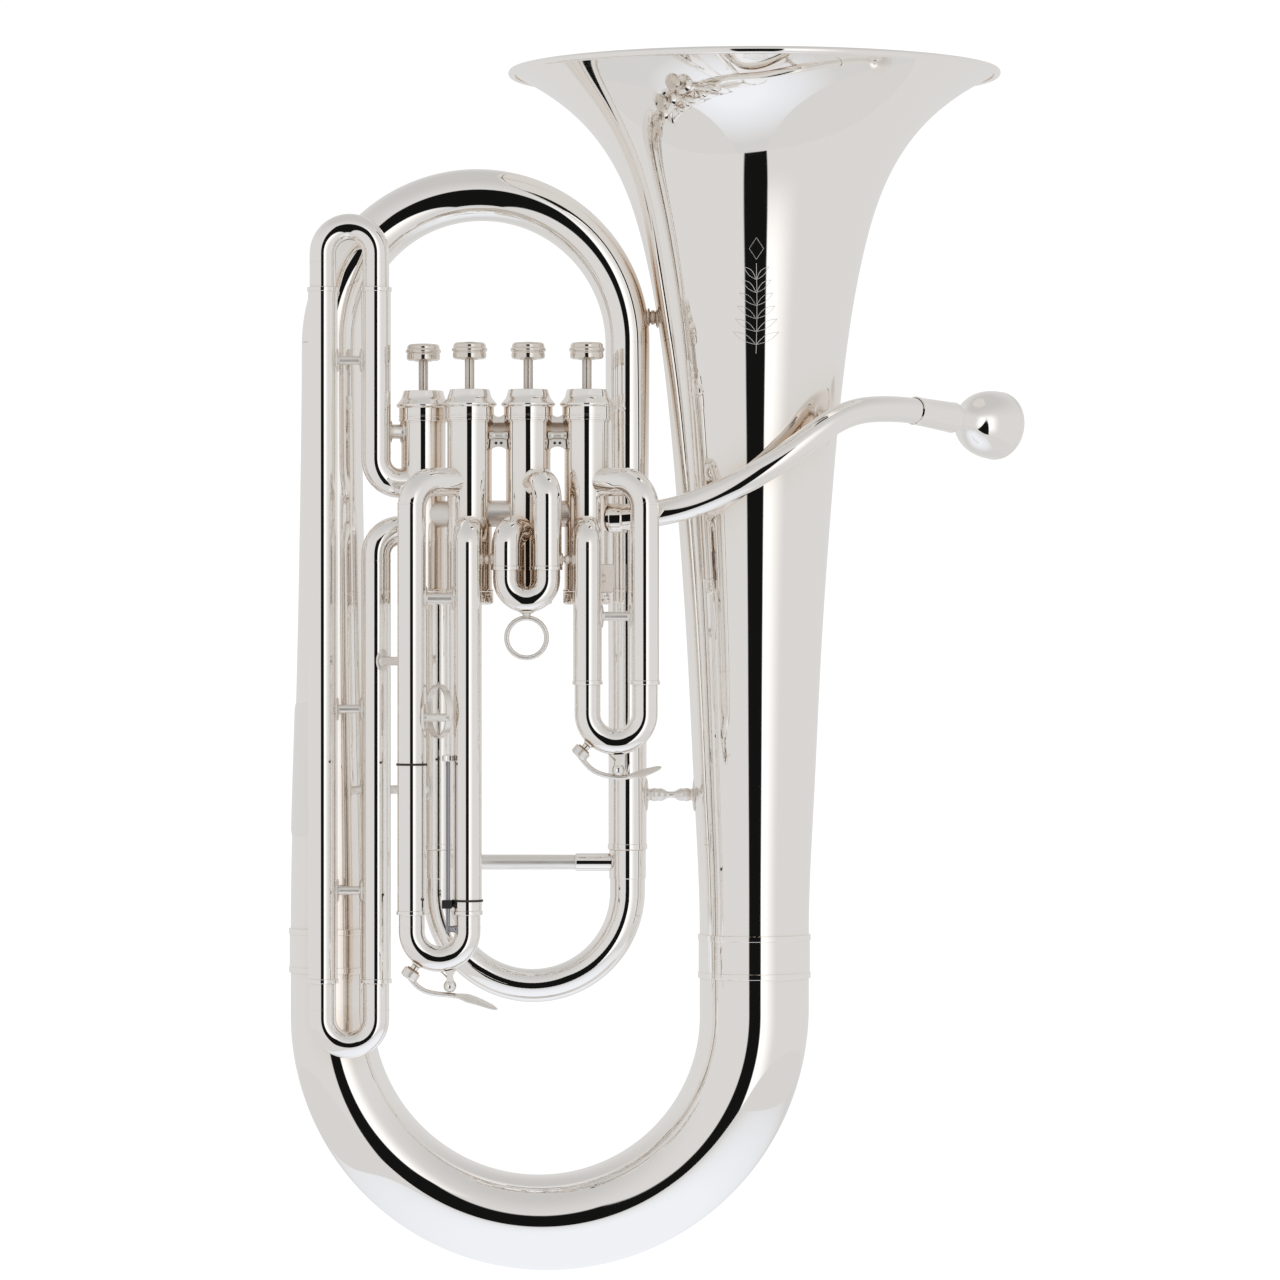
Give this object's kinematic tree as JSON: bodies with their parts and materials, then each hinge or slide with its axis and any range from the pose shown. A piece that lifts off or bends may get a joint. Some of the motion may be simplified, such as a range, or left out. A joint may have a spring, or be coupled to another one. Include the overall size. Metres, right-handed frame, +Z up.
{
  "type": "euphonium",
  "caption": "Upright silver-plated euphonium, a tenor tuba, with piston valves, sliding tuning bows, sprung finger buttons, water keys and a pull-off mouthpiece.",
  "frame": {"origin": "lowest point of the bottom bow, midway between its two legs, in the plane of the bell and main tubing", "axes": "+X from the small branch towards the bell, +Y away from the valves, +Z up the bell"},
  "size_m": [0.4228, 0.2794, 0.6812],
  "materials": {
    "silver_plate": "silver-plated brass, polished",
    "bell_silver": "silver-plated brass, polished, with a fine engraved ornament",
    "button_silver": "silver-plated brass, polished, lightly worn",
    "piston_alloy": "nickel alloy, fine lapped",
    "spring_wire": "bright spring wire",
    "cork": "fine-grained cork",
    "rubber": "black, slightly glossy"
  },
  "bodies": {
    "horn": {"bell": "bell_silver", "bell_ferrule": "silver_plate", "bottom_bow": "silver_plate", "branch_ferrule": "silver_plate", "main_branch": "silver_plate", "top_bow": "silver_plate", "descending_tube": "silver_plate", "outlet_tube": "silver_plate", "leadpipe": "silver_plate", "mouthpiece_receiver": "silver_plate", "valve_casing_1": "silver_plate", "valve_casing_2": "silver_plate", "valve_casing_3": "silver_plate", "valve_casing_4": "silver_plate", "valve_top_caps": "silver_plate", "valve_bottom_caps": "silver_plate", "valve_passages": "silver_plate", "casing_braces": "silver_plate", "first_outer_tubes": "silver_plate", "second_outer_tubes": "silver_plate", "third_outer_tubes": "silver_plate", "fourth_long_tube": "silver_plate", "fourth_upper_tube": "silver_plate", "fourth_lower_tube": "silver_plate", "slide_rings": "silver_plate", "bell_braces": "silver_plate", "tubing_braces": "silver_plate", "thumb_ring": "silver_plate", "bumper_rings": "rubber", "valve_spring_1": "spring_wire", "valve_spring_2": "spring_wire", "valve_spring_3": "spring_wire", "valve_spring_4": "spring_wire"},
    "valve_1": {"piston_1": "piston_alloy", "finger_button_1": "button_silver"},
    "valve_2": {"piston_2": "piston_alloy", "finger_button_2": "button_silver"},
    "valve_3": {"piston_3": "piston_alloy", "finger_button_3": "button_silver"},
    "valve_4": {"piston_4": "piston_alloy", "finger_button_4": "button_silver"},
    "tuning_slide": {"tuning_bow": "silver_plate", "tuning_slide_tubes": "silver_plate", "tuning_brace": "silver_plate"},
    "first_slide": {"first_slide_bow": "silver_plate", "first_slide_tubes": "silver_plate"},
    "second_slide": {"second_slide_bow": "silver_plate", "second_slide_tubes": "silver_plate", "second_pull_ring": "silver_plate"},
    "third_slide": {"third_slide_bow": "silver_plate", "third_slide_tubes": "silver_plate", "third_stop_rod": "silver_plate"},
    "fourth_upper_slide": {"fourth_upper_slide": "silver_plate"},
    "fourth_lower_slide": {"fourth_lower_slide": "silver_plate"},
    "first_key": {"first_water_key": "silver_plate", "first_key_cork": "cork"},
    "third_key": {"third_water_key": "silver_plate", "third_key_cork": "cork"},
    "mouthpiece": {"mouthpiece": "silver_plate"}
  },
  "joints": [
    {"name": "valve_1_press", "type": "slide", "parent": "horn", "child": "valve_1", "axis": [0, 0, -1], "range_m": [0, 0.0155], "stiffness_N_per_m": 90, "springref_m": -0.022, "deforming": ["valve_spring_1"]},
    {"name": "valve_2_press", "type": "slide", "parent": "horn", "child": "valve_2", "axis": [0, 0, -1], "range_m": [0, 0.0155], "stiffness_N_per_m": 90, "springref_m": -0.022, "deforming": ["valve_spring_2"]},
    {"name": "valve_3_press", "type": "slide", "parent": "horn", "child": "valve_3", "axis": [0, 0, -1], "range_m": [0, 0.0155], "stiffness_N_per_m": 90, "springref_m": -0.022, "deforming": ["valve_spring_3"]},
    {"name": "valve_4_press", "type": "slide", "parent": "horn", "child": "valve_4", "axis": [0, 0, -1], "range_m": [0, 0.0155], "stiffness_N_per_m": 90, "springref_m": -0.022, "deforming": ["valve_spring_4"]},
    {"name": "tuning_slide_pull", "type": "slide", "parent": "horn", "child": "tuning_slide", "axis": [0, 0, -1], "range_m": [0, 0.06]},
    {"name": "first_slide_pull", "type": "slide", "parent": "horn", "child": "first_slide", "axis": [0, 0, -1], "range_m": [0, 0.055]},
    {"name": "second_slide_pull", "type": "slide", "parent": "horn", "child": "second_slide", "axis": [0, 0, -1], "range_m": [0, 0.01]},
    {"name": "third_slide_pull", "type": "slide", "parent": "horn", "child": "third_slide", "axis": [0, 0, -1], "range_m": [0, 0.072]},
    {"name": "fourth_upper_slide_pull", "type": "slide", "parent": "horn", "child": "fourth_upper_slide", "axis": [0, 0, 1], "range_m": [0, 0.06]},
    {"name": "fourth_lower_slide_pull", "type": "slide", "parent": "horn", "child": "fourth_lower_slide", "axis": [0, 0, -1], "range_m": [0, 0.06]},
    {"name": "mouthpiece_pull", "type": "slide", "parent": "horn", "child": "mouthpiece", "axis": [0.6666, 0.7403, -0.0872], "range_m": [0, 0.024]},
    {"name": "first_key_press", "type": "hinge", "parent": "first_slide", "child": "first_key", "pos_m": [0.0431, -0.07, 0.2855], "axis": [0, -1, 0], "range_deg": [0, 14], "stiffness_Nm_per_rad": 0.05, "springref_deg": -17.19},
    {"name": "third_key_press", "type": "hinge", "parent": "third_slide", "child": "third_key", "pos_m": [-0.0505, -0.07, 0.1655], "axis": [0, -1, 0], "range_deg": [0, 14], "stiffness_Nm_per_rad": 0.05, "springref_deg": -17.19}
  ]
}
